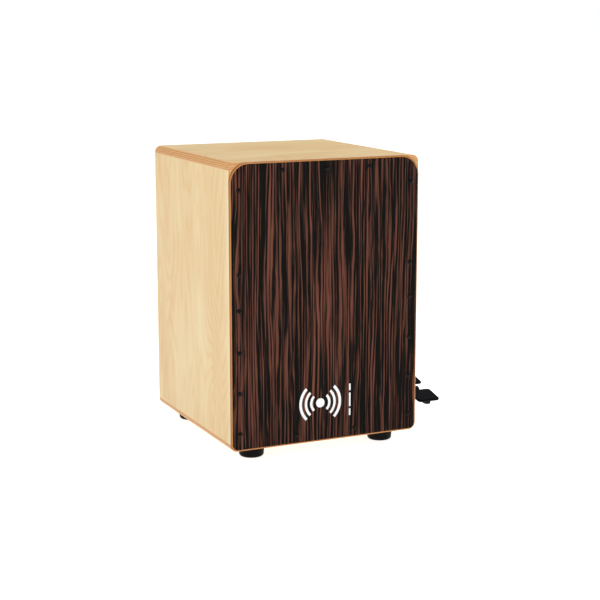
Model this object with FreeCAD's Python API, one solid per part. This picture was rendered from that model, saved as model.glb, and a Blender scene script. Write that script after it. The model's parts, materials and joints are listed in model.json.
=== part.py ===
import FreeCAD, Part
import math
import os

os.makedirs("parts", exist_ok=True)

V = FreeCAD.Vector

# Millimetres. Modelled with z = 0 on the floor, the box's centre at x = y = 0
# and the playing face towards -Y. Every solid is moved to the bounding box's
# bottom centre as it is written.

# Box
BODY_WIDTH = 350.0
BODY_DEPTH = 350.0
BODY_TOP = 503.0
PANEL = 13.0
EDGE_ROUND = 12.0

# Rubber feet
FOOT_HEIGHT = 20.0
FOOT_RADIUS = 22.4
FOOT_TAPER = 1.6
FOOT_EDGE = 4.5
FOOT_FRONT = (123.0, -141.0)
FOOT_REAR = (131.0, 126.0)
FOOT_POCKET_RADIUS = 9.5
FOOT_POCKET_DEPTH = 9.0
FOOT_WASHER = (8.8, 1.2)
FOOT_SCREW = dict(head_r=5.0, head_h=3.2, shank_r=2.4, length=22.0)

# Back panel and sound port
BACK = 5.0
BACK_LAP = 6.0
PORT_RADIUS = 60.0
PORT_Z = 273.0

# Front plate, veneer and the battens behind them
PLATE = 3.0
PLATE_CORNER_TOP = 34.0
PLATE_CORNER_LOW = 12.5
PLATE_RIM = 2.6
VENEER = 0.3
VENEER_INSET = 2.9
BATTEN = 18.0
PLATE_SCREW = dict(head_r=3.9, head_h=2.4, shank_r=1.75, length=16.5)
SCREW_X_SIDE = 159.0
SCREW_Z_SIDE = (50.0, 119.0, 188.0, 259.0, 319.0, 457.5)
SCREW_X_TOP = (-80.0, 0.0, 80.0)
SCREW_Z_TOP = 487.5
SCREW_X_LOW = (-54.5, 54.5)
SCREW_Z_LOW = 37.0
HOLE_SLACK = 0.08

# Printed mark: a dot with sound waves either side, and a bar beside them
MARK = 0.2
MARK_X = -11.0
MARK_Z = 88.0
MARK_DOT = 8.0
MARK_RINGS = ((17.0, 4.5), (27.0, 4.5), (37.0, 5.0))
MARK_SPREAD = 46.0
MARK_BAR_X = 45.0
MARK_BAR = (3.0, 56.0)
MARK_BAR_GAPS = (-14.0, 14.0)
MARK_BAR_GAP = 4.0

# Pedal: shaft axis along X, treads tilted with the front one down
SHAFT_Y = -36.6
SHAFT_Z = 47.5
SHAFT_RADIUS = 5.0
PEDAL_TILT = 13.3
TREAD_X = 253.0
TREAD_WIDTH = 45.0
TREAD_LENGTH = 43.5
TREAD_GAP = 25.0
TREAD_CORNER = 7.5
TREAD = 2.0
TREAD_TOP = 8.0
PAD = 2.0
PAD_INSET = 1.8
ARM_WIDTH = 11.0
ARM_THICK = 7.0
ARM_REACH = 53.0
HUB_RADIUS = 9.0
BOLT_RADIUS = 2.5
BOLT_HEAD_RADIUS = 5.0
BOLT_LENGTH = 11.6
BOLT_OFFSET = 6.0
TREAD_PIN_RADIUS = 2.0
TREAD_PIN_OFFSET = 10.0
DOME_NUT = (5.0, 2.4, 3.0)
CLAMP_SCREW = dict(head_r=3.6, head_h=1.9, shank_r=1.9, length=4.1)
CLAMP_SCREW_SEAT = 8.0

# Sleeve that carries the shaft through the right side
SLEEVE_INNER_X = 148.0
SLEEVE_OUTER_X = 245.0
SLEEVE_RADIUS = 9.0
SLEEVE_BORE = 7.0
BUSH_LENGTH = 15.0
RUNNING = 0.03
FLANGE = (62.0, 26.0, 4.0)
FLANGE_CORNER = 12.5
FLANGE_SCREW_Y = 22.5
FLANGE_SCREW = dict(head_r=4.0, head_h=2.4, shank_r=2.0, length=14.0)
RING_RADIUS = 13.5
RING = 6.0
WASHER_GAP = 0.2

# Crank, push rod and snare lever: equal arms, so the rod stays parallel to itself
CRANK_X = (136.0, 146.0)
LEVER_X = (136.0, 142.0)
ROD_X = 130.5
ROD_END_WIDTH = 8.0
ROD_END_RADIUS = 9.0
ROD_END_SHANK = (3.7, 26.0)
ROD_RADIUS = 3.5
ROD_DEPTH = 12.0
ARM_LENGTH = 30.0
WEB_RADIUS = 8.0
PIN_RADIUS = 4.0
PIN_HEAD = (6.5, 4.0)
PIN_SLACK = 0.05
NUT = (6.5, 5.0)
SET_SCREW_RADIUS = 2.0

# Snare bar and wires
BAR_Y = -142.0
BAR_Z = 333.0
BAR_HALF = 9.0
BAR_LENGTH = 293.0
BAR_LEAN = 13.0
BAR_PIN_END = 160.0
BAR_PIN_DEPTH = 14.0
BAR_WASHER = (7.5, 1.1)
BLOCK = (14.0, 28.0, 50.0)
BLOCK_SCREW_Z = 17.0
BLOCK_SCREW = dict(head_r=4.0, head_h=2.4, shank_r=1.75, length=21.0)
LEVER_RING = 17.0
WIRE_RADIUS = 0.8
WIRE_COUNT = 12
WIRE_PITCH = 4.6
WIRE_TIP = 97.0
WIRE_SET_X = 70.0
SOLDER_STRIP = (58.0, 13.0, 1.8)
CLAMP_STRIP = (58.0, 12.0, 1.5)
SNARE_SCREW_X = (-26.5, 0.0, 26.5)
SNARE_SCREW = dict(head_r=3.0, head_h=1.8, shank_r=1.2, length=12.0)

FRONT = -BODY_DEPTH / 2
REAR = BODY_DEPTH / 2
HALF = BODY_WIDTH / 2
INNER = HALF - PANEL
FLOOR_PANEL_TOP = FOOT_HEIGHT + PANEL
SEAT_UNDERSIDE = BODY_TOP - PANEL
VENEER_FRONT = FRONT - PLATE - VENEER

# Middle of the bounding box, from the left side to the treads and from the
# plate screws' heads to the back
ORIGIN_X = (TREAD_X + TREAD_WIDTH / 2 - HALF) / 2
ORIGIN_Y = (REAR + VENEER_FRONT - PLATE_SCREW["head_h"]) / 2


def write(name, shape):
    moved = shape.copy()
    moved.translate(V(-ORIGIN_X, -ORIGIN_Y, 0))
    moved.exportStep("parts/%s.step" % name)


def box(x0, x1, y0, y1, z0, z1):
    return Part.makeBox(x1 - x0, y1 - y0, z1 - z0, V(x0, y0, z0))


def rod_x(x0, x1, y, z, radius):
    return Part.makeCylinder(radius, x1 - x0, V(x0, y, z), V(1, 0, 0))


def rod_y(y0, y1, x, z, radius):
    return Part.makeCylinder(radius, y1 - y0, V(x, y0, z), V(0, 1, 0))


def rod_z(z0, z1, x, y, radius):
    return Part.makeCylinder(radius, z1 - z0, V(x, y, z0), V(0, 0, 1))


def fillet(shape, radius, wanted):
    """Round the edges whose middle point and direction are wanted."""
    chosen = []
    for edge in shape.Edges:
        middle = edge.valueAt((edge.FirstParameter + edge.LastParameter) / 2)
        if wanted(edge, middle):
            chosen.append(edge)
    return shape.makeFillet(radius, chosen)


def runs_along(edge, axis):
    ends = edge.Vertexes
    if len(ends) < 2:
        return False
    step = ends[1].Point - ends[0].Point
    return abs(abs(step.dot(axis)) - step.Length) < 1e-6 and edge.Curve.TypeId == "Part::GeomLine"


def close(a, b):
    return abs(a - b) < 1e-4


def facing(shape, point, outward):
    """Stand a shape modelled up +Z at a point, with its +Z turned outward."""
    turned = shape.copy()
    turned.Placement = FreeCAD.Placement(point, FreeCAD.Rotation(V(0, 0, 1), outward))
    return turned


def pan_screw(head_r, head_h, shank_r, length, turn=0.0):
    """Domed head from z = 0 up with a cross recess, and a plain shank below."""
    rise = 0.65 * head_h
    ball = (head_r ** 2 + rise ** 2) / (2 * rise)
    head = Part.makeCylinder(head_r, head_h)
    head = head.common(Part.makeSphere(ball, V(0, 0, head_h - ball)))
    reach = 0.58 * head_r
    slit = 0.13 * head_r
    depth = 0.55 * head_h
    for angle in (turn, turn + 90):
        cut = box(-reach, reach, -slit, slit, head_h - depth, head_h + 1)
        cut.rotate(V(0, 0, 0), V(0, 0, 1), angle)
        head = head.cut(cut)
    tip = 0.6 * shank_r
    shank = Part.makeCylinder(shank_r, length - 2 * tip, V(0, 0, 2 * tip - length))
    point = Part.makeCone(tip, shank_r, 2 * tip, V(0, 0, -length))
    return head.fuse([shank, point]).removeSplitter()


def washer(x0, x1, y, z, inner, outer):
    return rod_x(x0, x1, y, z, outer).cut(rod_x(x0 - 1, x1 + 1, y, z, inner))


def hexagon(radius, height):
    corners = []
    for i in range(7):
        angle = math.radians(60 * i)
        corners.append(V(radius * math.cos(angle), radius * math.sin(angle), 0))
    return Part.Face(Part.makePolygon(corners)).extrude(V(0, 0, height))


def slab(x0, x1, y0, y1, z0, z1, corner):
    """A flat plate lying in XY with its four upright corners rounded."""
    return fillet(
        box(x0, x1, y0, y1, z0, z1),
        corner,
        lambda edge, middle: runs_along(edge, V(0, 0, 1)),
    )


# Shell


def side_panel(sign):
    x0, x1 = sorted((sign * INNER, sign * HALF))
    panel = box(x0, x1, FRONT, REAR, FLOOR_PANEL_TOP, SEAT_UNDERSIDE)
    lap0, lap1 = sorted((sign * INNER, sign * (INNER + BACK_LAP)))
    rebate = box(lap0, lap1, REAR - BACK, REAR + 1, FLOOR_PANEL_TOP - 1, SEAT_UNDERSIDE + 1)
    panel = panel.cut(rebate)
    reach = BLOCK_SCREW["length"] - BLOCK[0] + 1
    for dz in (-BLOCK_SCREW_Z, BLOCK_SCREW_Z):
        h0, h1 = sorted((sign * (INNER - 1), sign * (INNER + reach)))
        radius = BLOCK_SCREW["shank_r"] + HOLE_SLACK
        panel = panel.cut(rod_x(h0, h1, BAR_Y, BAR_Z + dz, radius))
    if sign > 0:
        panel = panel.cut(rod_x(x0 - 1, x1 + 1, SHAFT_Y, SHAFT_Z, SLEEVE_RADIUS + 0.3))
        for dy in (-FLANGE_SCREW_Y, FLANGE_SCREW_Y):
            depth = FLANGE_SCREW["length"] - FLANGE[2] + 1
            radius = FLANGE_SCREW["shank_r"] + HOLE_SLACK
            panel = panel.cut(rod_x(HALF - depth, HALF + 1, SHAFT_Y + dy, SHAFT_Z, radius))
    return panel


def level_panel(z0, z1, outer_z, lap):
    panel = box(-HALF, HALF, FRONT, REAR, z0, z1)
    panel = fillet(
        panel,
        EDGE_ROUND,
        lambda edge, middle: close(middle.z, outer_z) and runs_along(edge, V(0, 1, 0)),
    )
    lap_x = INNER + BACK_LAP
    return panel.cut(box(-lap_x, lap_x, REAR - BACK, REAR + 1, lap[0], lap[1]))


bottom_panel = level_panel(
    FOOT_HEIGHT,
    FLOOR_PANEL_TOP,
    FOOT_HEIGHT,
    (FLOOR_PANEL_TOP - BACK_LAP, FLOOR_PANEL_TOP + 1),
)
top_panel = level_panel(
    SEAT_UNDERSIDE,
    BODY_TOP,
    BODY_TOP,
    (SEAT_UNDERSIDE - 1, SEAT_UNDERSIDE + BACK_LAP),
)

back_x = INNER + BACK_LAP
back_panel = box(
    -back_x,
    back_x,
    REAR - BACK,
    REAR,
    FLOOR_PANEL_TOP - BACK_LAP,
    SEAT_UNDERSIDE + BACK_LAP,
)
back_panel = back_panel.cut(rod_y(REAR - BACK - 1, REAR + 1, 0, PORT_Z, PORT_RADIUS))

# Front plate, veneer, mark, battens and screws


def front_sheet(inset, y0, y1):
    """The playing face's outline, inset all round, as a sheet from y0 to y1."""
    z0 = FOOT_HEIGHT + inset
    z1 = BODY_TOP - inset
    sheet = box(-HALF + inset, HALF - inset, y0, y1, z0, z1)
    for level, radius in ((z1, PLATE_CORNER_TOP), (z0, PLATE_CORNER_LOW)):
        sheet = fillet(
            sheet,
            radius - inset,
            lambda edge, middle: close(middle.z, level) and runs_along(edge, V(0, 1, 0)),
        )
    return sheet


plate_screw_spots = []
for sx in (-SCREW_X_SIDE, SCREW_X_SIDE):
    for sz in SCREW_Z_SIDE:
        plate_screw_spots.append((sx, sz))
for sx in SCREW_X_TOP:
    plate_screw_spots.append((sx, SCREW_Z_TOP))
for sx in SCREW_X_LOW:
    plate_screw_spots.append((sx, SCREW_Z_LOW))

screw_holes = []
for sx, sz in plate_screw_spots:
    depth = VENEER_FRONT + PLATE_SCREW["length"] + 1
    radius = PLATE_SCREW["shank_r"] + HOLE_SLACK
    screw_holes.append(rod_y(VENEER_FRONT - 1, depth, sx, sz, radius))

front_plate = front_sheet(0, FRONT - PLATE, FRONT)
front_plate = fillet(
    front_plate,
    PLATE_RIM,
    lambda edge, middle: close(middle.y, FRONT - PLATE),
)
front_plate = front_plate.cut(screw_holes)
ebony_veneer = front_sheet(VENEER_INSET, VENEER_FRONT, FRONT - PLATE).cut(screw_holes)

batten_back = FRONT + BATTEN
battens = {
    "front_batten_left": box(
        -INNER, -INNER + BATTEN, FRONT, batten_back, FLOOR_PANEL_TOP, SEAT_UNDERSIDE
    ),
    "front_batten_right": box(
        INNER - BATTEN, INNER, FRONT, batten_back, FLOOR_PANEL_TOP, SEAT_UNDERSIDE
    ),
    "front_batten_top": box(
        -INNER + BATTEN,
        INNER - BATTEN,
        FRONT,
        batten_back,
        SEAT_UNDERSIDE - BATTEN,
        SEAT_UNDERSIDE,
    ),
    "front_batten_bottom": box(
        -INNER + BATTEN,
        INNER - BATTEN,
        FRONT,
        batten_back,
        FLOOR_PANEL_TOP,
        FLOOR_PANEL_TOP + BATTEN,
    ),
}
for name, batten in battens.items():
    write(name, batten.cut(screw_holes))

plate_screws = []
for i, (sx, sz) in enumerate(plate_screw_spots):
    screw = pan_screw(turn=37.0 * i, **PLATE_SCREW)
    plate_screws.append(facing(screw, V(sx, VENEER_FRONT, sz), V(0, -1, 0)))


def wave(radius, width, side):
    """A ring sector in the XZ plane, centred on the mark's dot."""
    y0 = VENEER_FRONT - MARK
    ring = rod_y(y0, VENEER_FRONT, MARK_X, MARK_Z, radius + width / 2)
    ring = ring.cut(rod_y(y0 - 1, VENEER_FRONT + 1, MARK_X, MARK_Z, radius - width / 2))
    reach = 2 * radius
    points = [V(MARK_X, y0 - 1, MARK_Z)]
    for angle in (-MARK_SPREAD, MARK_SPREAD):
        rad = math.radians(angle)
        points.append(
            V(
                MARK_X + side * reach * math.cos(rad),
                y0 - 1,
                MARK_Z + reach * math.sin(rad),
            )
        )
    points.append(points[0])
    wedge = Part.Face(Part.makePolygon(points)).extrude(V(0, MARK + 2, 0))
    return ring.common(wedge)


mark_pieces = [rod_y(VENEER_FRONT - MARK, VENEER_FRONT, MARK_X, MARK_Z, MARK_DOT)]
for radius, width in MARK_RINGS:
    for side in (-1, 1):
        mark_pieces.append(wave(radius, width, side))
mark_bar = box(
    MARK_BAR_X - MARK_BAR[0] / 2,
    MARK_BAR_X + MARK_BAR[0] / 2,
    VENEER_FRONT - MARK,
    VENEER_FRONT,
    MARK_Z - MARK_BAR[1] / 2,
    MARK_Z + MARK_BAR[1] / 2,
)
for dz in MARK_BAR_GAPS:
    mark_bar = mark_bar.cut(
        box(
            MARK_BAR_X - MARK_BAR[0],
            MARK_BAR_X + MARK_BAR[0],
            VENEER_FRONT - 1,
            VENEER_FRONT + 1,
            MARK_Z + dz - MARK_BAR_GAP / 2,
            MARK_Z + dz + MARK_BAR_GAP / 2,
        )
    )
mark_pieces.extend(mark_bar.Solids)

write("front_plate", front_plate)
write("ebony_veneer", ebony_veneer)
write("front_emblem", Part.makeCompound(mark_pieces))
write("front_plate_screws", Part.makeCompound(plate_screws))

# Feet

foot_spots = {
    "front_left": (-FOOT_FRONT[0], FOOT_FRONT[1]),
    "front_right": FOOT_FRONT,
    "rear_left": (-FOOT_REAR[0], FOOT_REAR[1]),
    "rear_right": FOOT_REAR,
}
foot_washers = []
foot_screws = []
for place, (fx, fy) in foot_spots.items():
    foot = Part.makeCone(FOOT_RADIUS - FOOT_TAPER, FOOT_RADIUS, FOOT_HEIGHT, V(fx, fy, 0))
    foot = fillet(foot, FOOT_EDGE, lambda edge, middle: close(middle.z, 0))
    foot = foot.cut(rod_z(-1, FOOT_POCKET_DEPTH, fx, fy, FOOT_POCKET_RADIUS))
    hole_r = FOOT_SCREW["shank_r"] + HOLE_SLACK
    foot = foot.cut(rod_z(-1, FOOT_HEIGHT + 1, fx, fy, hole_r))
    write("foot_" + place, foot)
    washer_r, washer_h = FOOT_WASHER
    seat = FOOT_POCKET_DEPTH - washer_h
    disc = rod_z(seat, FOOT_POCKET_DEPTH, fx, fy, washer_r)
    foot_washers.append(disc.cut(rod_z(seat - 1, FOOT_HEIGHT, fx, fy, hole_r)))
    foot_screws.append(facing(pan_screw(**FOOT_SCREW), V(fx, fy, seat), V(0, 0, -1)))
    bottom_panel = bottom_panel.cut(
        rod_z(FOOT_HEIGHT - 1, seat + FOOT_SCREW["length"] + 1, fx, fy, hole_r)
    )
write("foot_washers", Part.makeCompound(foot_washers))
write("foot_screws", Part.makeCompound(foot_screws))

write("side_panel_left", side_panel(-1))
write("side_panel_right", side_panel(1))
write("bottom_panel", bottom_panel)
write("top_panel", top_panel)
write("back_panel", back_panel)

# Pedal, modelled level about the shaft axis and then tilted into place


def pedal_place(shape):
    placed = shape.copy()
    placed.rotate(V(0, 0, 0), V(1, 0, 0), PEDAL_TILT)
    placed.translate(V(0, SHAFT_Y, SHAFT_Z))
    return placed


arm_x0 = TREAD_X - ARM_WIDTH / 2
arm_x1 = TREAD_X + ARM_WIDTH / 2
arm_top = TREAD_TOP - TREAD
arm_low = arm_top - ARM_THICK
tread_mid = (TREAD_GAP + TREAD_LENGTH) / 2

pedal_arm = slab(arm_x0, arm_x1, -ARM_REACH, ARM_REACH, arm_low, arm_top, ARM_WIDTH / 3)
pedal_arm = pedal_arm.fuse(rod_x(arm_x0, arm_x1, 0, 0, HUB_RADIUS))
pedal_arm = pedal_arm.cut(rod_x(arm_x0 - 1, arm_x1 + 1, 0, 0, SHAFT_RADIUS))
clamp_hole = CLAMP_SCREW["shank_r"] + HOLE_SLACK
pedal_arm = pedal_arm.cut(rod_z(0, HUB_RADIUS + 1, TREAD_X, 0, clamp_hole))
pedal_arm = pedal_arm.cut(
    rod_z(CLAMP_SCREW_SEAT, HUB_RADIUS + 1, TREAD_X, 0, CLAMP_SCREW["head_r"] + 0.2)
)

shaft = rod_x(CRANK_X[0], arm_x1, 0, 0, SHAFT_RADIUS)
flat = CLAMP_SCREW_SEAT - CLAMP_SCREW["length"]
for x0, x1 in ((arm_x0 + 3, arm_x1 - 3), (CRANK_X[0] + 1, CRANK_X[1] - 1)):
    shaft = shaft.cut(box(x0, x1, -SHAFT_RADIUS, SHAFT_RADIUS, SHAFT_RADIUS - 1.2, SHAFT_RADIUS + 1))

tread_pieces = {}
bolts = []
nuts = []
pins = []
nut_r, nut_hex, nut_dome = DOME_NUT
for place, side in (("front", -1), ("rear", 1)):
    middle_y = side * tread_mid
    y0 = middle_y - TREAD_LENGTH / 2
    y1 = middle_y + TREAD_LENGTH / 2
    x0 = TREAD_X - TREAD_WIDTH / 2
    x1 = TREAD_X + TREAD_WIDTH / 2
    tread = slab(x0, x1, y0, y1, arm_top, TREAD_TOP, TREAD_CORNER)
    pad = slab(
        x0 + PAD_INSET,
        x1 - PAD_INSET,
        y0 + PAD_INSET,
        y1 - PAD_INSET,
        TREAD_TOP,
        TREAD_TOP + PAD,
        TREAD_CORNER - PAD_INSET,
    )
    pad = fillet(pad, PAD / 2.5, lambda edge, middle: close(middle.z, TREAD_TOP + PAD))
    bolt_y = middle_y + side * BOLT_OFFSET
    head = Part.makeCone(BOLT_RADIUS, BOLT_HEAD_RADIUS, TREAD, V(TREAD_X, bolt_y, arm_top))
    shank = rod_z(TREAD_TOP - BOLT_LENGTH, arm_top, TREAD_X, bolt_y, BOLT_RADIUS)
    bolts.append(head.fuse(shank).removeSplitter())
    sink = Part.makeCone(
        BOLT_RADIUS + HOLE_SLACK,
        BOLT_HEAD_RADIUS + HOLE_SLACK,
        TREAD,
        V(TREAD_X, bolt_y, arm_top),
    )
    tread = tread.cut(sink)
    hole = rod_z(arm_low - 1, arm_top + 1, TREAD_X, bolt_y, BOLT_RADIUS + HOLE_SLACK)
    pedal_arm = pedal_arm.cut(hole)
    pin_y = middle_y - side * TREAD_PIN_OFFSET
    pins.append(rod_z(arm_low + 2, TREAD_TOP, TREAD_X, pin_y, TREAD_PIN_RADIUS))
    pin_hole = rod_z(arm_low + 1.5, TREAD_TOP + 1, TREAD_X, pin_y, TREAD_PIN_RADIUS + HOLE_SLACK)
    tread = tread.cut(pin_hole)
    pedal_arm = pedal_arm.cut(pin_hole)
    nut = hexagon(nut_r, nut_hex + nut_dome)
    ball = (nut_r ** 2 + nut_dome ** 2) / (2 * nut_dome)
    crown = Part.makeSphere(ball, V(0, 0, nut_hex + nut_dome - ball))
    nut = nut.common(crown)
    socket = Part.makeCylinder(BOLT_RADIUS + HOLE_SLACK, nut_hex + nut_dome / 2)
    nut = nut.cut(socket)
    nuts.append(facing(nut, V(TREAD_X, bolt_y, arm_low), V(0, 0, -1)))
    write("pedal_tread_" + place, pedal_place(tread))
    write("pedal_pad_" + place, pedal_place(pad))

write("pedal_arm", pedal_place(pedal_arm))
write("pedal_bolts", pedal_place(Part.makeCompound(bolts)))
write("pedal_dome_nuts", pedal_place(Part.makeCompound(nuts)))
write("pedal_tread_pins", pedal_place(Part.makeCompound(pins)))
clamp_screw = facing(pan_screw(turn=45, **CLAMP_SCREW), V(TREAD_X, 0, CLAMP_SCREW_SEAT), V(0, 0, 1))
write("pedal_clamp_screw", pedal_place(clamp_screw))
write("pedal_shaft", pedal_place(shaft))

# Sleeve, bushes, lock ring and washers round the shaft

flange_y, flange_z, flange_thick = FLANGE
flange = slab(
    -flange_z / 2, flange_z / 2, -flange_y / 2, flange_y / 2, 0, flange_thick, FLANGE_CORNER
)
flange = facing(flange, V(HALF, SHAFT_Y, SHAFT_Z), V(1, 0, 0))
sleeve = rod_x(SLEEVE_INNER_X, SLEEVE_OUTER_X, SHAFT_Y, SHAFT_Z, SLEEVE_RADIUS)
sleeve = sleeve.fuse(flange)
sleeve = sleeve.cut(
    rod_x(SLEEVE_INNER_X - 1, SLEEVE_OUTER_X + 1, SHAFT_Y, SHAFT_Z, SLEEVE_BORE)
)
flange_screws = []
for dy in (-FLANGE_SCREW_Y, FLANGE_SCREW_Y):
    radius = FLANGE_SCREW["shank_r"] + HOLE_SLACK
    sleeve = sleeve.cut(rod_x(HALF - 1, HALF + 9, SHAFT_Y + dy, SHAFT_Z, radius))
    spot = V(HALF + flange_thick, SHAFT_Y + dy, SHAFT_Z)
    flange_screws.append(facing(pan_screw(turn=dy, **FLANGE_SCREW), spot, V(1, 0, 0)))
write("pedal_sleeve", sleeve)
write("flange_screws", Part.makeCompound(flange_screws))

for place, x0 in (("inner", SLEEVE_INNER_X), ("outer", SLEEVE_OUTER_X - BUSH_LENGTH)):
    bush = washer(
        x0, x0 + BUSH_LENGTH, SHAFT_Y, SHAFT_Z, SHAFT_RADIUS + RUNNING, SLEEVE_BORE
    )
    write("sleeve_bush_" + place, bush)
write(
    "sleeve_lock_ring",
    washer(INNER - RING, INNER, SHAFT_Y, SHAFT_Z, SLEEVE_RADIUS, RING_RADIUS),
)
thrust = washer(
    CRANK_X[1],
    SLEEVE_INNER_X - WASHER_GAP,
    SHAFT_Y,
    SHAFT_Z,
    SHAFT_RADIUS + RUNNING,
    SLEEVE_RADIUS,
)
friction = washer(
    SLEEVE_OUTER_X + WASHER_GAP,
    arm_x0,
    SHAFT_Y,
    SHAFT_Z,
    SHAFT_RADIUS + RUNNING,
    SLEEVE_RADIUS,
)
write("shaft_washers", Part.makeCompound([thrust, friction]))

# Linkage. At mid travel both arms stand square to the line between the two axes,
# and at rest they are half the travel short of it.

line_y = BAR_Y - SHAFT_Y
line_z = BAR_Z - SHAFT_Z
rod_length = math.hypot(line_y, line_z)
rod_way = V(0, line_y / rod_length, line_z / rod_length)
rest_angle = math.degrees(math.atan2(-line_y, line_z)) + PEDAL_TILT
arm_y = ARM_LENGTH * math.cos(math.radians(rest_angle))
arm_z = ARM_LENGTH * math.sin(math.radians(rest_angle))
low_pin = V(0, SHAFT_Y + arm_y, SHAFT_Z + arm_z)
high_pin = V(0, BAR_Y + arm_y, BAR_Z + arm_z)


def arm_blank(x0, x1, centre_y, centre_z, hub):
    """A flat arm from a round hub to the pin's eye, tapering in between."""
    eye = rod_x(x0, x1, centre_y + arm_y, centre_z + arm_z, WEB_RADIUS)
    side = V(0, -arm_z / ARM_LENGTH, arm_y / ARM_LENGTH)
    centre = V(x0, centre_y, centre_z)
    tip = V(x0, centre_y + arm_y, centre_z + arm_z)
    corners = [
        centre + side * (hub * 0.93),
        tip + side * (WEB_RADIUS * 0.99),
        tip - side * (WEB_RADIUS * 0.99),
        centre - side * (hub * 0.93),
    ]
    corners.append(corners[0])
    web = Part.Face(Part.makePolygon(corners)).extrude(V(x1 - x0, 0, 0))
    return rod_x(x0, x1, centre_y, centre_z, hub).fuse([eye, web]).removeSplitter()


def pin_hole_at(x0, x1, pin):
    return rod_x(x0 - 1, x1 + 1, pin.y, pin.z, PIN_RADIUS)


def linkage_pin(x_end, pin):
    """A headed pin through a rod end and an arm, with the head on the rod's side."""
    head_r, head_h = PIN_HEAD
    head_x = ROD_X - ROD_END_WIDTH / 2 - WASHER_GAP
    head = rod_x(head_x - head_h, head_x, pin.y, pin.z, head_r)
    socket = hexagon(2.9, 2.4)
    socket = facing(socket, V(head_x - head_h, pin.y, pin.z), V(1, 0, 0))
    head = fillet(head, 0.8, lambda edge, middle: close(middle.x, head_x - head_h))
    shank = rod_x(head_x, x_end, pin.y, pin.z, PIN_RADIUS)
    return head.cut(socket).fuse(shank).removeSplitter()


crank = arm_blank(CRANK_X[0], CRANK_X[1], SHAFT_Y, SHAFT_Z, HUB_RADIUS + 1)
crank = crank.cut(rod_x(CRANK_X[0] - 1, CRANK_X[1] + 1, SHAFT_Y, SHAFT_Z, SHAFT_RADIUS))
crank = crank.cut(pin_hole_at(CRANK_X[0], CRANK_X[1], low_pin))
crank_mid = (CRANK_X[0] + CRANK_X[1]) / 2
set_hole = pedal_place(rod_z(0, HUB_RADIUS + 3, crank_mid, 0, SET_SCREW_RADIUS + HOLE_SLACK))
crank = crank.cut(set_hole)
set_screw = rod_z(SHAFT_RADIUS - 1.1, HUB_RADIUS + 0.6, crank_mid, 0, SET_SCREW_RADIUS)
socket = hexagon(1.1, 2)
socket.translate(V(crank_mid, 0, HUB_RADIUS - 0.9))
write("crank_arm", crank)
write("crank_set_screw", pedal_place(set_screw.cut(socket)))
write("crank_pin", linkage_pin(CRANK_X[1], low_pin))



def bar_place(shape):
    placed = shape.copy()
    placed.rotate(V(0, 0, 0), V(1, 0, 0), BAR_LEAN)
    placed.translate(V(0, BAR_Y, BAR_Z))
    return placed


lever = arm_blank(LEVER_X[0], LEVER_X[1], BAR_Y, BAR_Z, LEVER_RING)
bar_hole = BAR_HALF + HOLE_SLACK
square = box(
    LEVER_X[0] - 1, LEVER_X[1] + 1, -bar_hole, bar_hole, -bar_hole, bar_hole
)
lever = lever.cut(bar_place(square)).cut(pin_hole_at(LEVER_X[0], LEVER_X[1], high_pin))
write("snare_lever", lever)
write("lever_pin", linkage_pin(LEVER_X[1], high_pin))

rod_ends = {"lower": (low_pin, rod_way), "upper": (high_pin, rod_way * -1)}
lock_nuts = []
shank_r, shank_l = ROD_END_SHANK
for place, (pin, way) in rod_ends.items():
    x0 = ROD_X - ROD_END_WIDTH / 2
    x1 = ROD_X + ROD_END_WIDTH / 2
    eye = rod_x(x0, x1, pin.y, pin.z, ROD_END_RADIUS)
    spot = V(ROD_X, pin.y, pin.z)
    shank = Part.makeCylinder(shank_r, shank_l, spot, way)
    end = eye.fuse(shank).removeSplitter()
    bottom = spot + way * (shank_l - ROD_DEPTH - 1)
    end = end.cut(Part.makeCylinder(ROD_RADIUS - 1, ROD_DEPTH + 2, bottom, way))
    end = end.cut(rod_x(x0 - 1, x1 + 1, pin.y, pin.z, PIN_RADIUS + PIN_SLACK))
    write("rod_end_" + place, end)
    nut_radius, nut_height = NUT
    nut = hexagon(nut_radius, nut_height)
    nut = nut.cut(Part.makeCylinder(ROD_RADIUS, nut_height))
    lock_nuts.append(facing(nut, spot + way * (shank_l + 0.3), way))
write("rod_lock_nuts", Part.makeCompound(lock_nuts))

stud = shank_l - ROD_DEPTH
start = V(ROD_X, low_pin.y, low_pin.z) + rod_way * stud
push_rod = Part.makeCylinder(ROD_RADIUS - 1.05, rod_length - 2 * stud, start, rod_way)
thick = V(ROD_X, low_pin.y, low_pin.z) + rod_way * (shank_l + 0.3)
push_rod = push_rod.fuse(
    Part.makeCylinder(ROD_RADIUS, rod_length - 2 * (shank_l + 0.3), thick, rod_way)
)
write("push_rod", push_rod.removeSplitter())

# Snare bar, modelled upright about its own axis and then leaned forward

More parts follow.
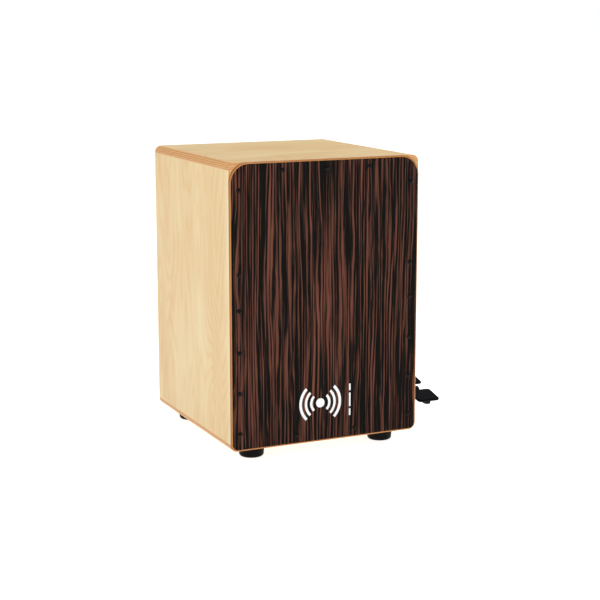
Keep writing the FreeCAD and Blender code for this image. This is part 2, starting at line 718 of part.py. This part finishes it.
bar = box(-BAR_LENGTH / 2, BAR_LENGTH / 2, -BAR_HALF, BAR_HALF, -BAR_HALF, BAR_HALF)
bar_pins = []
bar_washers = []
blocks = {"left": -1, "right": 1}
block_screws = []
block_x, block_y, block_z = BLOCK
for place, side in blocks.items():
    p0, p1 = sorted((side * (BAR_LENGTH / 2 - BAR_PIN_DEPTH), side * BAR_PIN_END))
    bar_pins.append(rod_x(p0, p1, 0, 0, PIN_RADIUS))
    bar = bar.cut(rod_x(p0, p1, 0, 0, PIN_RADIUS))
    washer_r, washer_t = BAR_WASHER
    w0, w1 = sorted((side * BAR_LENGTH / 2, side * (BAR_LENGTH / 2 + washer_t)))
    bar_washers.append(washer(w0, w1, 0, 0, PIN_RADIUS, washer_r))
    b0, b1 = sorted((side * (INNER - block_x), side * INNER))
    block = box(
        b0,
        b1,
        BAR_Y - block_y / 2,
        BAR_Y + block_y / 2,
        BAR_Z - block_z / 2,
        BAR_Z + block_z / 2,
    )
    block = block.cut(rod_x(b0 - 1, b1 + 1, BAR_Y, BAR_Z, PIN_RADIUS + PIN_SLACK))
    for dz in (-BLOCK_SCREW_Z, BLOCK_SCREW_Z):
        radius = BLOCK_SCREW["shank_r"] + HOLE_SLACK
        block = block.cut(rod_x(b0 - 1, b1 + 1, BAR_Y, BAR_Z + dz, radius))
        spot = V(side * (INNER - block_x), BAR_Y, BAR_Z + dz)
        block_screws.append(facing(pan_screw(**BLOCK_SCREW), spot, V(-side, 0, 0)))
    write("pivot_block_" + place, block)
write("pivot_block_screws", Part.makeCompound(block_screws))
write("snare_bar_pins", bar_place(Part.makeCompound(bar_pins)))
write("snare_bar_washers", bar_place(Part.makeCompound(bar_washers)))

clamps = []
snare_screws = []
strip_x, strip_z, strip_y = SOLDER_STRIP
clamp_x, clamp_z, clamp_y = CLAMP_STRIP
strip_front = -BAR_HALF - strip_y
clamp_front = strip_front - clamp_y
for place, middle_x in (("left", -WIRE_SET_X), ("right", WIRE_SET_X)):
    strip = box(
        middle_x - strip_x / 2,
        middle_x + strip_x / 2,
        strip_front,
        -BAR_HALF,
        -strip_z / 2,
        strip_z / 2,
    )
    first = middle_x - (WIRE_COUNT - 1) * WIRE_PITCH / 2
    wires = []
    for i in range(WIRE_COUNT):
        wire_y = -BAR_HALF - strip_y / 2
        wires.append(rod_z(0, WIRE_TIP, first + i * WIRE_PITCH, wire_y, WIRE_RADIUS))
    strip = strip.fuse(wires).removeSplitter()
    clamp = box(
        middle_x - clamp_x / 2,
        middle_x + clamp_x / 2,
        clamp_front,
        strip_front,
        -clamp_z / 2,
        clamp_z / 2,
    )
    for dx in SNARE_SCREW_X:
        radius = SNARE_SCREW["shank_r"] + HOLE_SLACK
        hole = rod_y(clamp_front - 1, clamp_front + SNARE_SCREW["length"] + 1, middle_x + dx, 0, radius)
        strip = strip.cut(hole)
        clamp = clamp.cut(hole)
        bar = bar.cut(hole)
        spot = V(middle_x + dx, clamp_front, 0)
        snare_screws.append(facing(pan_screw(**SNARE_SCREW), spot, V(0, -1, 0)))
    clamps.append(clamp)
    write("snare_wires_" + place, bar_place(strip))
write("snare_bar", bar_place(bar))
write("snare_clamp_strips", bar_place(Part.makeCompound(clamps)))
write("snare_screws", bar_place(Part.makeCompound(snare_screws)))
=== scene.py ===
import json
import math

import bpy
from mathutils import Matrix, Vector


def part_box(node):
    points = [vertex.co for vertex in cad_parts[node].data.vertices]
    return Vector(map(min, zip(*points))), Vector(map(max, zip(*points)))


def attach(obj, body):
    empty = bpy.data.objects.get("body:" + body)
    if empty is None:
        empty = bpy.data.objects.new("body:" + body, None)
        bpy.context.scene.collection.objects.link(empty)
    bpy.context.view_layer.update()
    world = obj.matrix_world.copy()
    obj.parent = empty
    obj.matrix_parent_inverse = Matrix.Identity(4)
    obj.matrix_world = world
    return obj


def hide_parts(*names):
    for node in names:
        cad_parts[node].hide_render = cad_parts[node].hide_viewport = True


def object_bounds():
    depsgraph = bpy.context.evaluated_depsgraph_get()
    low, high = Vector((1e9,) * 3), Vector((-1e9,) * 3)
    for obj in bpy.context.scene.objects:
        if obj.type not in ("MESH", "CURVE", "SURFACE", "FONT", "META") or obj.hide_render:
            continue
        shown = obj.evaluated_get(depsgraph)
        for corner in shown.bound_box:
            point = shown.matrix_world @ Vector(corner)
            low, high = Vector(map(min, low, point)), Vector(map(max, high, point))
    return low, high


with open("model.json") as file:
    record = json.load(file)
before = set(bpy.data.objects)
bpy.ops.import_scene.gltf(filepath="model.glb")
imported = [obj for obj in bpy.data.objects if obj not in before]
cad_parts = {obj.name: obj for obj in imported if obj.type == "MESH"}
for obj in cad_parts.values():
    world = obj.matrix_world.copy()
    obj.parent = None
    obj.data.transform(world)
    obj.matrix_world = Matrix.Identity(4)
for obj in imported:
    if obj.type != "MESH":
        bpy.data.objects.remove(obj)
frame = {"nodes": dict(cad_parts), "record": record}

cadBox = [list(corner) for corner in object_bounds()]
record = frame["record"]
nodes = frame["nodes"]
scene = bpy.context.scene
print("frame loaded:", len(nodes), "nodes")


# small helpers for colours and shader nodes

def srgb(red, green, blue):         # a screen colour, 0 to 255, as the linear colour that shaders use
    channels = []
    for value in (red, green, blue):
        value = value / 255
        channels.append(value / 12.92 if value <= 0.04045 else ((value + 0.055) / 1.055) ** 2.4)
    return (*channels, 1.0)


def addNode(tree, kind, inputs=None, **settings):
    node = tree.nodes.new(kind)
    for key, value in settings.items():
        setattr(node, key, value)
    for key, value in (inputs or {}).items():
        if isinstance(value, bpy.types.NodeSocket):
            tree.links.new(value, node.inputs[key])
        else:
            node.inputs[key].default_value = value
    return node


def calc(tree, operation, first, second=0.0):
    return addNode(tree, "ShaderNodeMath", {0: first, 1: second}, operation=operation).outputs[0]


def weighed(tree, value, weight):   # a noise value moved to centre on nought, times its weight
    return calc(tree, "MULTIPLY", calc(tree, "SUBTRACT", value, 0.5), weight)


def zigzag(tree, value):            # climbs and falls between nought and one, once for each unit
    return calc(tree, "MULTIPLY", calc(tree, "PINGPONG", value, 0.5), 2.0)


def spread(tree, value, low, high, start, end):
    return addNode(tree, "ShaderNodeMapRange", {
        "Value": value, "From Min": low, "From Max": high, "To Min": start, "To Max": end}).outputs[0]


def field(tree, place, scale=(1, 1, 1), shift=(0, 0, 0), detail=3.0, rough=0.5, distort=0.0):
    vector = addNode(tree, "ShaderNodeMapping", {"Vector": place, "Scale": scale, "Location": shift})
    return addNode(tree, "ShaderNodeTexNoise", {
        "Vector": vector.outputs["Vector"], "Scale": 1.0,
        "Detail": detail, "Roughness": rough, "Distortion": distort}).outputs["Fac"]


def ramp(tree, factor, positions, colours):
    node = addNode(tree, "ShaderNodeValToRGB", {"Fac": factor})
    elements = node.color_ramp.elements
    while len(elements) < len(positions):
        elements.new(0.5)
    for element, position, colour in zip(elements, positions, colours):
        element.position = position
        element.color = colour
    return node.outputs["Color"]


def blendColours(tree, factor, first, second, mode="MIX"):
    node = addNode(tree, "ShaderNodeMix", data_type="RGBA", blend_type=mode)
    for index, value in ((0, factor), (6, first), (7, second)):     # the colour sockets of the Mix node
        if isinstance(value, bpy.types.NodeSocket):
            tree.links.new(value, node.inputs[index])
        else:
            node.inputs[index].default_value = value
    return node.outputs[2]


def bump(tree, bsdf, height, distance, strength):
    node = addNode(tree, "ShaderNodeBump", {"Height": height, "Distance": distance, "Strength": strength})
    tree.links.new(node.outputs["Normal"], bsdf.inputs["Normal"])


def startMaterial(name, settings):
    material = bpy.data.materials.new(name)
    material.use_nodes = True
    tree = material.node_tree
    bsdf = tree.nodes["Principled BSDF"]
    for socket, value in settings.items():
        bsdf.inputs[socket].default_value = value
    place = addNode(tree, "ShaderNodeTexCoord").outputs["Object"]
    return material, tree, bsdf, place


def paint(name, material):
    for slot in nodes[name].material_slots:
        slot.material = material


# birch plywood: figured face veneer on the two faces, plies wherever the sheet is cut or rounded
# noise fields say how often they change across and along the grain, per metre

plywood = {
    "facePale": srgb(231, 211, 165),
    "faceLight": srgb(226, 200, 149),
    "faceDark": srgb(215, 176, 116),
    "faceTones": (0.26, 0.66, 0.90),        # where dark, light and pale stand on the scale of tones
    "patches": dict(across=10.0, along=3.0, detail=4.0, rough=0.55, distort=0.9),     # warm and pale areas
    "swirl": dict(across=7.0, along=1.3, shift=(4, 9, 1), detail=2.0, rough=0.42),
    "swirlLines": 34.0,                     # contours of the swirl: the pointed loops of the figure
    "swirlSharpness": 2.0,
    "swirlWeight": -0.16,
    "fibres": dict(across=330.0, along=7.0, detail=4.0, rough=0.6),
    "fibreWeight": 0.36,
    "pore": srgb(190, 144, 96),
    "poreFrom": 0.70,
    "poreWeight": 0.18,
    "paleRim": 0.018,                       # width of the paler strip beside the playing face
    "paleLift": 0.30,
    "faceShare": 0.1,                       # how much of an outer ply is face veneer
    "longPly": srgb(228, 182, 124),
    "longTones": (0.3, 0.5),
    "crossPly": srgb(209, 150, 90),
    "crossTones": (0.35, 0.5),
    "grit": dict(scale=(700, 700, 700), detail=3.0, rough=0.65),
    "glueLine": srgb(176, 120, 70),
    "glueWidth": 0.06,                      # in plies
    "glueWeight": 0.6,
    "grainHeight": 0.00005,
    "grainStrength": 0.45,
    "roughness": 0.42,
    "specular": 0.35,
    "coat": 0.0,
    "coatRoughness": 0.12,
}
plateRim = {                                # the stained and lacquered edge of the playing face
    "stain": (0.70, 0.43, 0.21, 1),
    "width": 0.014,
    "jointShade": srgb(66, 38, 24),               # painted shade: a dark line where the plate meets the cabinet
    "jointShadeDepth": 0.0009,
    "jointShadeWeight": 0.8,
    "longPly": srgb(224, 178, 118),
    "crossPly": srgb(196, 130, 66),
    "glueLine": srgb(150, 94, 48),
    "roughness": 0.32,
    "coat": 0.15,
}
panels = {
    "side_panel_left": dict(layerAxis="X", grainAxis="Z", plies=9, paleFront=True),
    "side_panel_right": dict(layerAxis="X", grainAxis="Z", plies=9, paleFront=True),
    "top_panel": dict(layerAxis="Z", grainAxis="X", plies=9, tintAndShade=(1.0, 0.98, 0.94, 1)),
    # the bottom panel's darker tint is painted shade on its rounded lower edge
    "bottom_panel": dict(layerAxis="Z", grainAxis="X", plies=9, tintAndShade=(0.86, 0.79, 0.70, 1)),
    "back_panel": dict(layerAxis="Y", grainAxis="Z", plies=3, tintAndShade=(0.97, 0.95, 0.92, 1)),
    "front_plate": dict(layerAxis="Y", grainAxis="Z", plies=3, rim=plateRim),
}


def grainField(tree, place, grainAxis, across, along, **noise):
    scale = [across] * 3
    scale["XYZ".index(grainAxis)] = along
    return field(tree, place, scale, **noise)


def faceFigure(tree, place, grainAxis):
    look = plywood
    patches = grainField(tree, place, grainAxis, **look["patches"])
    swirl = grainField(tree, place, grainAxis, **look["swirl"])
    fibres = grainField(tree, place, grainAxis, **look["fibres"])
    contour = zigzag(tree, calc(tree, "MULTIPLY", swirl, look["swirlLines"]))
    contour = calc(tree, "POWER", contour, look["swirlSharpness"])
    tone = calc(tree, "ADD", patches, weighed(tree, contour, look["swirlWeight"]))
    return calc(tree, "ADD", tone, weighed(tree, fibres, look["fibreWeight"])), fibres


def onRim(tree, parts, box, rimWidth):      # one beside the sheet's outer edges, nought over its middle
    inside = 1.0
    for axis in (0, 2):
        low, high = box[0][axis], box[1][axis]
        away = calc(tree, "ABSOLUTE", calc(tree, "SUBTRACT", parts[axis], (low + high) / 2))
        inside = calc(tree, "MULTIPLY", inside, calc(tree, "LESS_THAN", away, (high - low) / 2 - rimWidth))
    return calc(tree, "SUBTRACT", 1.0, inside)


def cutPlies(tree, place, layer, fibres, look):
    grit = field(tree, place, **look["grit"])
    cross = ramp(tree, grit, look["crossTones"], (look["glueLine"], look["crossPly"]))
    longer = ramp(tree, fibres, look["longTones"], (look["crossPly"], look["longPly"]))
    odd = calc(tree, "MODULO", calc(tree, "FLOOR", layer), 2.0)
    edge = blendColours(tree, odd, longer, cross)
    glue = calc(tree, "LESS_THAN", calc(tree, "PINGPONG", layer, 0.5), look["glueWidth"])
    glue = calc(tree, "MULTIPLY", glue, look["glueWeight"])
    return blendColours(tree, glue, edge, look["glueLine"]), grit


def plywoodMaterial(name, box, layerAxis, grainAxis, plies, tintAndShade=(1, 1, 1, 1), rim=None, paleFront=False):
    look = {**plywood, **(rim or {})}
    low, high = [corner["XYZ".index(layerAxis)] for corner in box]
    material, tree, bsdf, place = startMaterial(name, {
        "Roughness": look["roughness"], "Specular IOR Level": look["specular"],
        "Coat Weight": look["coat"], "Coat Roughness": look["coatRoughness"]})
    parts = addNode(tree, "ShaderNodeSeparateXYZ", {"Vector": place}).outputs
    tone, fibres = faceFigure(tree, place, grainAxis)
    if paleFront:
        front = box[0][1]
        lift = spread(tree, parts[1], front, front + look["paleRim"], look["paleLift"], 0.0)
        tone = calc(tree, "ADD", tone, lift)
    face = ramp(tree, tone, look["faceTones"], (look["faceDark"], look["faceLight"], look["facePale"]))
    pores = calc(tree, "GREATER_THAN", fibres, look["poreFrom"])
    face = blendColours(tree, calc(tree, "MULTIPLY", pores, look["poreWeight"]), face, look["pore"])

    depth = parts["XYZ".index(layerAxis)]
    layer = calc(tree, "DIVIDE", calc(tree, "SUBTRACT", depth, low), (high - low) / plies)
    edge, grit = cutPlies(tree, place, layer, fibres, look)
    fromMiddle = calc(tree, "ABSOLUTE", calc(tree, "SUBTRACT", layer, plies / 2))
    isFace = calc(tree, "GREATER_THAN", fromMiddle, plies / 2 - look["faceShare"])
    colour = blendColours(tree, isFace, edge, face)
    # each panel's tint is multiplied in; the bottom panel's is painted shade
    colour = blendColours(tree, 1.0, colour, tintAndShade, "MULTIPLY")
    if rim:
        stained = blendColours(tree, 1.0, colour, rim["stain"], "MULTIPLY")
        # painted shade: darkens the plate's back edge along its rim, where it meets the cabinet
        jointShade = calc(tree, "GREATER_THAN", depth, high - rim["jointShadeDepth"])
        jointShade = calc(tree, "MULTIPLY", jointShade, rim["jointShadeWeight"])
        stained = blendColours(tree, jointShade, stained, rim["jointShade"])
        colour = blendColours(tree, onRim(tree, parts, box, rim["width"]), colour, stained)
    tree.links.new(colour, bsdf.inputs["Base Color"])
    bump(tree, bsdf, calc(tree, "ADD", fibres, grit), look["grainHeight"], look["grainStrength"])
    return material


for node, sheet in panels.items():
    paint(node, plywoodMaterial(node + "Ply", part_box(node), **sheet))
print("plywood done")


# striped veneer of the playing face: dark and red streaks that run up the sheet

stripes = {
    "colours": (srgb(17, 17, 15), srgb(44, 32, 28), srgb(89, 54, 43), srgb(120, 72, 58)),
    "tones": (0.475, 0.515, 0.56, 0.72),    # where black, umber, red and light red stand
    "sway": dict(scale=(16, 1, 1.8), detail=2.0),       # slow wander of the streaks
    "swayReach": 0.028,
    "flame": dict(scale=(80, 1, 6.5), shift=(3.1, 0, 7.7), detail=2.0),     # quicker wander, pointed flames
    "flameReach": 0.009,
    "streaks": dict(scale=(300, 1, 4.6), detail=4.0, rough=0.66),
    "ringsPerMetre": 168.0,
    "ringWeight": 0.13,
    "patches": dict(scale=(58, 1, 2.6), shift=(5, 0, 2), detail=4.0, rough=0.6),
    "patchWeight": 0.58,
    "hairLines": dict(scale=(760, 1, 3), detail=2.0, rough=0.6),
    "hairWeight": 0.17,
    "roughness": 0.45,
    "specular": 0.03,
    "grainHeight": 0.00004,
    "grainStrength": 0.5,
}


def stripedVeneer(name):
    look = stripes
    material, tree, bsdf, place = startMaterial(name, {
        "Roughness": look["roughness"], "Specular IOR Level": look["specular"]})
    parts = addNode(tree, "ShaderNodeSeparateXYZ", {"Vector": place}).outputs
    sway = weighed(tree, field(tree, place, **look["sway"]), look["swayReach"])
    flame = weighed(tree, field(tree, place, **look["flame"]), look["flameReach"])
    across = calc(tree, "ADD", parts[0], calc(tree, "ADD", sway, flame))
    bent = addNode(tree, "ShaderNodeCombineXYZ", {0: across, 2: parts[2]}).outputs[0]
    rings = zigzag(tree, calc(tree, "MULTIPLY", across, look["ringsPerMetre"]))
    streaks = field(tree, bent, **look["streaks"])
    patches = field(tree, bent, **look["patches"])
    hairLines = field(tree, bent, **look["hairLines"])
    tone = calc(tree, "ADD", streaks, weighed(tree, rings, look["ringWeight"]))
    tone = calc(tree, "ADD", tone, weighed(tree, patches, look["patchWeight"]))
    tone = calc(tree, "ADD", tone, weighed(tree, hairLines, look["hairWeight"]))
    tree.links.new(ramp(tree, tone, look["tones"], look["colours"]), bsdf.inputs["Base Color"])
    bump(tree, bsdf, calc(tree, "ADD", streaks, hairLines), look["grainHeight"], look["grainStrength"])
    return material


paint("ebony_veneer", stripedVeneer("stripedVeneer"))
print("playing face done")


# plainer finishes: two colours mottled together, with roughness and a fine bump to match

mottle = {
    "detail": 4.0,
    "rough": 0.6,
    "tones": (0.35, 0.68),
    "roughFrom": 0.3,
    "roughTo": 0.7,
    "strength": 0.6,
}
finishes = {                                # by the record's material slot
    "white_print": dict(
        name="whitePrint", colours=(srgb(253, 253, 253), srgb(246, 246, 246)), scale=300, roughness=0.4),
    "black_rubber": dict(
        name="footRubber", colours=(srgb(8, 7, 9), srgb(15, 13, 16)), scale=900, roughness=0.5,
        specular=0.08, height=0.00008),
    "pad_rubber": dict(
        name="padRubber", colours=(srgb(17, 16, 20), srgb(25, 24, 29)), scale=1100, roughness=0.62,
        specular=0.03, height=0.0001),
    "black_steel": dict(
        name="blackSteel", colours=(srgb(6, 6, 7), srgb(11, 11, 13)), scale=1400, roughness=0.33,
        specular=0.12, height=0.00004, roughSpread=0.05),
    "black_screw": dict(
        name="blackScrew", colours=(srgb(4, 6, 6), srgb(9, 12, 11)), scale=1600, roughness=0.3,
        specular=0.16, height=0.00003),
    "zinc_steel": dict(
        name="zincSteel", colours=(srgb(176, 178, 180), srgb(206, 208, 208)), scale=500, roughness=0.33,
        metallic=1.0, height=0.00003),
    "bronze": dict(
        name="bronze", colours=(srgb(176, 132, 78), srgb(198, 154, 96)), scale=700, roughness=0.36,
        metallic=1.0, height=0.00003),
    "nylon": dict(
        name="nylon", colours=(srgb(226, 224, 216), srgb(212, 209, 200)), scale=800, roughness=0.5,
        height=0.00003),
    "snare_steel": dict(
        name="snareSteel", colours=(srgb(190, 190, 188), srgb(214, 214, 212)), scale=900, roughness=0.28,
        metallic=1.0, height=0.00002),
}
battenWood = dict(colours=(srgb(222, 184, 134), srgb(203, 160, 108)), scale=90, roughness=0.6, height=0.0001)
barWood = dict(colours=(srgb(206, 160, 112), srgb(182, 134, 88)), scale=160, roughness=0.5, height=0.00006)
timbers = {                                 # each solid timber, with its grain drawn out along its length
    "front_batten_left": dict(**battenWood, stretch=(1, 1, 0.05)),
    "front_batten_right": dict(**battenWood, stretch=(1, 1, 0.05)),
    "front_batten_top": dict(**battenWood, stretch=(0.05, 1, 1)),
    "front_batten_bottom": dict(**battenWood, stretch=(0.05, 1, 1)),
    "snare_bar": dict(**barWood, stretch=(0.06, 1, 1)),
    "pivot_block_left": dict(**barWood, stretch=(1, 1, 0.08)),
    "pivot_block_right": dict(**barWood, stretch=(1, 1, 0.08)),
}


def grainyMaterial(name, colours, scale, roughness, metallic=0.0, specular=0.5,
                   roughSpread=0.08, height=0.00005, stretch=(1, 1, 1)):
    material, tree, bsdf, place = startMaterial(name, {"Metallic": metallic, "Specular IOR Level": specular})
    scales = [scale * part for part in stretch]
    grain = field(tree, place, scales, detail=mottle["detail"], rough=mottle["rough"])
    tree.links.new(ramp(tree, grain, mottle["tones"], colours), bsdf.inputs["Base Color"])
    rough = spread(
        tree, grain, mottle["roughFrom"], mottle["roughTo"], roughness - roughSpread, roughness + roughSpread)
    tree.links.new(rough, bsdf.inputs["Roughness"])
    bump(tree, bsdf, grain, height, mottle["strength"])
    return material


made = {slot: grainyMaterial(**look) for slot, look in finishes.items()}
for part in record["subparts"]:
    if part["material_slot"] in made:
        paint(part["node"], made[part["material_slot"]])
for node, look in timbers.items():
    paint(node, grainyMaterial(node + "Wood", **look))
print("finishes done")


# coiled snare wires on their solder strips, in place of the plain rods

snares = {
    "wireCount": 12,
    "spacing": 0.0046,
    "coilRadius": 0.00062,
    "wireRadius": 0.00018,
    "pitch": 0.0009,
    "stepsPerTurn": 7,
    "wireSides": 4,
    "tip": 0.097,                           # how far the wires stand above the bar's axis
    "barHalf": 0.009,                       # from that axis to the bar's flat
    "stripThick": 0.0018,
    "stripTall": 0.013,
    "stripInset": 0.001,                    # from the strip's lower edge to the wires' ends
    "stripBevel": 0.2,                      # of its thickness
    "leanDegrees": 13.0,
}


def coiledWire(points, faces, wireX, phase):
    look = snares
    wireY = -look["barHalf"] - look["stripThick"] / 2
    start = -look["stripTall"] / 2 + look["stripInset"]
    steps = int((look["tip"] - start) / look["pitch"] * look["stepsPerTurn"])
    sides = look["wireSides"]
    first = len(points)
    for step in range(steps + 1):
        angle = 2 * math.pi * step / look["stepsPerTurn"] + phase
        out = Vector((math.cos(angle), math.sin(angle), 0))
        centre = Vector((wireX, wireY, start + (look["tip"] - start) * step / steps))
        centre += out * look["coilRadius"]
        for side in range(sides):
            turn = 2 * math.pi * (side + 0.5) / sides
            up = Vector((0, 0, look["wireRadius"] * math.sin(turn)))
            points.append(centre + out * look["wireRadius"] * math.cos(turn) + up)
    for step in range(steps):
        for side in range(sides):
            here = first + step * sides + side
            beside = first + step * sides + (side + 1) % sides
            faces.append((here, beside, beside + sides, here + sides))
    last = first + steps * sides
    faces.append(tuple(reversed(range(first, first + sides))))
    faces.append(tuple(range(last, last + sides)))


def solderStrip(points, faces, width):      # a flat bar whose two front edges are taken off
    look = snares
    back = -look["barHalf"]
    front = back - look["stripThick"]
    half = look["stripTall"] / 2
    cut = look["stripThick"] * look["stripBevel"]
    outline = [(back, -half), (back, half), (front + cut, half), (front, half - cut),
               (front, -half + cut), (front + cut, -half)]
    first = len(points)
    count = len(outline)
    for x in (-width / 2, width / 2):
        points.extend(Vector((x, y, z)) for y, z in outline)
    for corner in range(count):
        here = first + corner
        beside = first + (corner + 1) % count
        faces.append((here, beside, beside + count, here + count))
    faces.append(tuple(first + corner for corner in range(count)))
    faces.append(tuple(first + count + corner for corner in reversed(range(count))))


def snareSet(name, node):
    look = snares
    low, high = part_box(node)
    points, faces = [], []
    for wire in range(look["wireCount"]):
        wireX = (wire - (look["wireCount"] - 1) / 2) * look["spacing"]
        coiledWire(points, faces, wireX, phase=wire)
    solderStrip(points, faces, high[0] - low[0])
    lean = Matrix.Rotation(math.radians(look["leanDegrees"]), 4, "X")
    toWorld = Matrix.Translation(((low[0] + high[0]) / 2, snareAxis.y, snareAxis.z)) @ lean
    mesh = bpy.data.meshes.new(name)
    mesh.from_pydata([toWorld @ point for point in points], [], faces)
    mesh.validate()
    mesh.update()
    mesh.materials.append(made["snare_steel"])
    wires = bpy.data.objects.new(name, mesh)
    scene.collection.objects.link(wires)
    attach(wires, "snare")
    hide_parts(node)


snareAxis = Vector(next(joint["pos_m"] for joint in record["behaviour"]["joints"]
                        if joint["name"] == "snare_tilt"))
snareSet("snareCoilsLeft", "snare_wires_left")
snareSet("snareCoilsRight", "snare_wires_right")
print("snare wires done")


# floor and backdrop: white all round, with a faint shade under the box

studio = {
    "floorSize": 40.0,
    "floorColour": (0.72, 0.72, 0.72, 1),
    "floorRoughness": 0.9,
    "glowNear": 0.78,                       # the floor's own light near the box, and further out
    "glowFar": 1.0,
    "glowStart": 0.7,
    "glowEnd": 2.2,
    "worldStrength": 0.42,
    "frontShade": 0.35,                     # the sky is dimmer on the playing face's side
    "shadeFrom": -0.9,
    "shadeTo": 0.1,
}
halfFloor = studio["floorSize"] / 2
floorMesh = bpy.data.meshes.new("floor")
floorCorners = [(halfFloor * x, halfFloor * y, 0) for x, y in ((-1, -1), (1, -1), (1, 1), (-1, 1))]
floorMesh.from_pydata(floorCorners, [], [(0, 1, 2, 3)])
floorObject = bpy.data.objects.new("floor", floorMesh)
scene.collection.objects.link(floorObject)
floorMaterial, floorTree, floorShader, floorPlace = startMaterial("paleFloor", {
    "Roughness": studio["floorRoughness"], "Specular IOR Level": 0.0,
    "Base Color": studio["floorColour"], "Emission Color": (1, 1, 1, 1)})
away = addNode(floorTree, "ShaderNodeVectorMath", {0: floorPlace}, operation="LENGTH").outputs["Value"]
glow = spread(
    floorTree, away, studio["glowStart"], studio["glowEnd"], studio["glowNear"], studio["glowFar"])
floorTree.links.new(glow, floorShader.inputs["Emission Strength"])
floorMesh.materials.append(floorMaterial)

world = bpy.data.worlds.new("studioWorld")
scene.world = world
world.use_nodes = True
worldTree = world.node_tree
background = worldTree.nodes["Background"]
background.inputs["Color"].default_value = (1, 1, 1, 1)
skyPlace = addNode(worldTree, "ShaderNodeTexCoord").outputs["Generated"]
skyParts = addNode(worldTree, "ShaderNodeSeparateXYZ", {"Vector": skyPlace}).outputs
sky = spread(worldTree, skyParts[1], studio["shadeFrom"], studio["shadeTo"], studio["frontShade"], 1.0)
sky = calc(worldTree, "MULTIPLY", sky, studio["worldStrength"])
seen = addNode(worldTree, "ShaderNodeLightPath").outputs["Is Camera Ray"]     # seen directly it is white
worldTree.links.new(calc(worldTree, "MAXIMUM", sky, seen), background.inputs["Strength"])
print("backdrop done")


# soft square lamps, all turned to the middle of the object

lamps = {
    "keyLeft": dict(place=(-2.4, -0.9, 1.5), size=1.6, power=11),
    "glintLeft": dict(place=(-2.0, -1.2, 1.65), size=0.35, power=4),
    "fillTop": dict(place=(0.2, 0.3, 2.8), size=2.0, power=40),
    "fillFront": dict(place=(0.6, -3.4, 1.6), size=1.6, power=24),
    "rimRight": dict(place=(2.4, 0.4, 1.2), size=1.2, power=9),
}
aim = (Vector(cadBox[0]) + Vector(cadBox[1])) / 2
for name, look in lamps.items():
    lamp = bpy.data.lights.new(name, "AREA")
    lamp.shape = "SQUARE"
    lamp.size = look["size"]
    lamp.energy = look["power"]
    lampObject = bpy.data.objects.new(name, lamp)
    lampObject.location = look["place"]
    lampObject.rotation_euler = (aim - Vector(look["place"])).to_track_quat("-Z", "Y").to_euler()
    scene.collection.objects.link(lampObject)

view = {                                    # turned right and tipped down from looking along +Y
    "place": (-1.13145, -2.38975, 0.741),
    "turnDegrees": 24.99,
    "dipDegrees": 10.93,
    "lens": 89.5,
    "sensorWidth": 36.0,
}
cameraData = bpy.data.cameras.new("camera")
cameraData.lens = view["lens"]
cameraData.sensor_width = view["sensorWidth"]
camera = bpy.data.objects.new("camera", cameraData)
camera.location = view["place"]
camera.rotation_euler = (
    math.radians(90 - view["dipDegrees"]), 0, math.radians(-view["turnDegrees"]))
scene.collection.objects.link(camera)
scene.camera = camera
scene.view_settings.view_transform = "Standard"
print("studio done")
